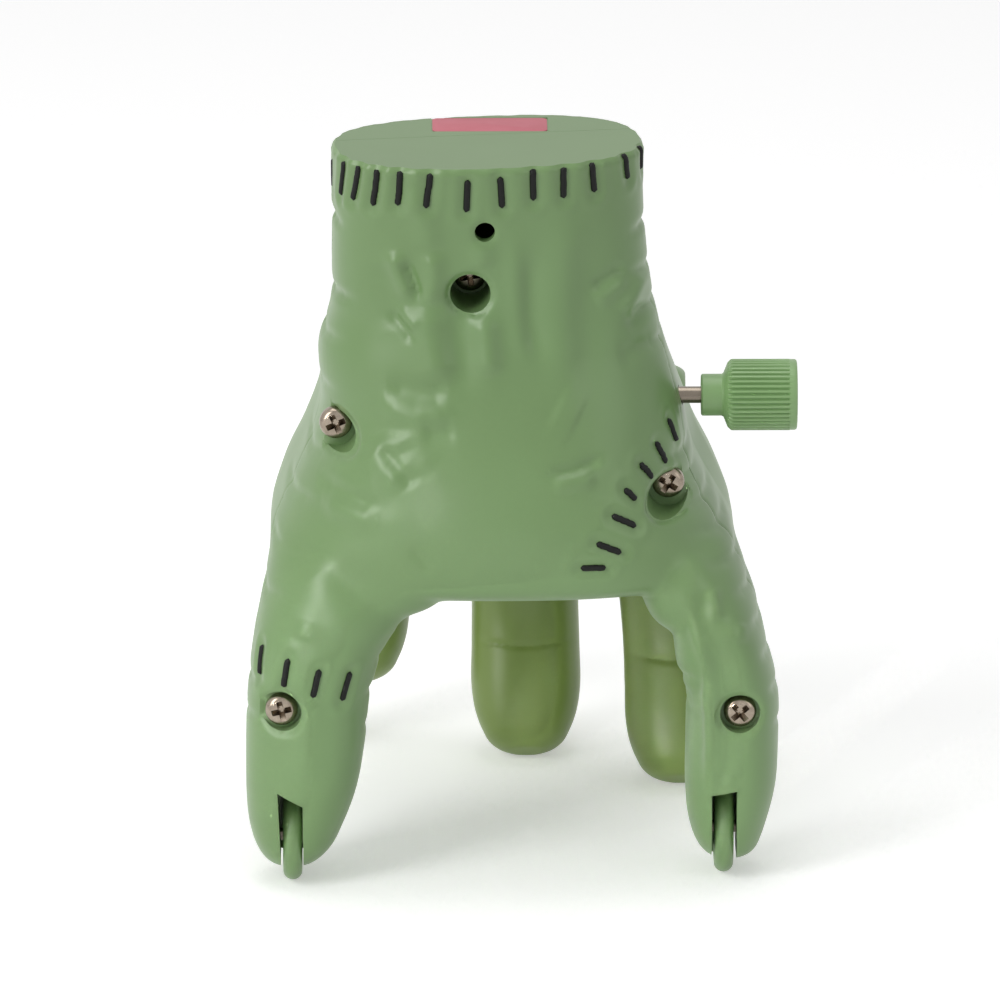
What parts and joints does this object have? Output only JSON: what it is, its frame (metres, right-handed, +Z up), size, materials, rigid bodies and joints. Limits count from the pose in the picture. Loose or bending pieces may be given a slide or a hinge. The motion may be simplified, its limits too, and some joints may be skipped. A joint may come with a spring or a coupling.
{
  "type": "wind-up walking hand",
  "caption": "Wind-up toy in the shape of a severed hand that stands wrist up on its fingers, with wheels in the front fingertips, rocking rear fingers and a side winding knob.",
  "frame": {"origin": "on the floor, under the middle of the whole hand's box", "axes": "+Z up from the fingertips to the cut wrist, +X towards the winding knob, -Y the palm side"},
  "size_m": [0.0656, 0.0716, 0.0893],
  "materials": {
    "hand_plastic": "semi-gloss moulded plastic",
    "finger_plastic": "semi-gloss moulded plastic",
    "screw_nickel": "nickel plated",
    "axle_steel": "bright drawn",
    "gear_plastic": "natural moulded",
    "wheel_brass": "turned",
    "spring_steel": "blued",
    "plate_steel": "zinc plated"
  },
  "bodies": {
    "hand": {"front_shell": "hand_plastic", "back_shell": "hand_plastic", "shell_screws": "screw_nickel", "thumb_axle": "axle_steel", "little_axle": "axle_steel", "pivot_rod": "axle_steel", "finger_spacers": "axle_steel", "mainspring": "spring_steel", "motor_plate_left": "plate_steel", "motor_plate_right": "plate_steel", "plate_pillars": "plate_steel"},
    "winder": {"winding_knob": "hand_plastic", "winding_shaft": "axle_steel", "great_wheel": "wheel_brass"},
    "second": {"second_arbor": "axle_steel", "second_gear": "gear_plastic"},
    "crank": {"crankshaft": "axle_steel", "crank_pinion": "gear_plastic"},
    "governor": {"governor_arbor": "axle_steel", "governor_pinion": "gear_plastic", "flywheel": "wheel_brass"},
    "thumb_roller": {"thumb_wheel": "hand_plastic"},
    "little_roller": {"little_wheel": "hand_plastic"},
    "index": {"index_finger": "finger_plastic"},
    "middle": {"middle_finger": "finger_plastic"},
    "ring": {"ring_finger": "finger_plastic"}
  },
  "joints": [
    {"name": "knob_turn", "type": "hinge", "parent": "hand", "child": "winder", "pos_m": [0.02481, -0.01745, 0.0573], "axis": [1, 0, 0], "continuous": true},
    {"name": "second_turn", "type": "hinge", "parent": "hand", "child": "second", "pos_m": [-0.00019, -0.01384, 0.04639], "axis": [1, 0, 0], "continuous": true},
    {"name": "crank_turn", "type": "hinge", "parent": "hand", "child": "crank", "pos_m": [-0.00019, -0.00495, 0.04499], "axis": [1, 0, 0], "continuous": true},
    {"name": "governor_turn", "type": "hinge", "parent": "hand", "child": "governor", "pos_m": [-0.00019, -0.02205, 0.0442], "axis": [1, 0, 0], "continuous": true},
    {"name": "thumb_wheel_spin", "type": "hinge", "parent": "hand", "child": "thumb_roller", "pos_m": [-0.02731, -0.02664, 0.0055], "axis": [1, 0, 0], "continuous": true},
    {"name": "little_wheel_spin", "type": "hinge", "parent": "hand", "child": "little_roller", "pos_m": [0.02416, -0.02428, 0.0055], "axis": [1, 0, 0], "continuous": true},
    {"name": "index_rock", "type": "hinge", "parent": "hand", "child": "index", "pos_m": [-0.01429, 0.00555, 0.046], "axis": [1, 0, 0], "range_deg": [-16, 0]},
    {"name": "middle_rock", "type": "hinge", "parent": "hand", "child": "middle", "pos_m": [-0.00029, 0.00555, 0.046], "axis": [1, 0, 0], "range_deg": [-8, 8]},
    {"name": "ring_rock", "type": "hinge", "parent": "hand", "child": "ring", "pos_m": [0.01371, 0.00555, 0.046], "axis": [1, 0, 0], "range_deg": [0, 16]}
  ],
  "couplings": [
    {"joint": "second_turn", "follows": "knob_turn", "ratio": -3.6},
    {"joint": "crank_turn", "follows": "knob_turn", "ratio": 7.2},
    {"joint": "governor_turn", "follows": "knob_turn", "ratio": 8.64}
  ]
}
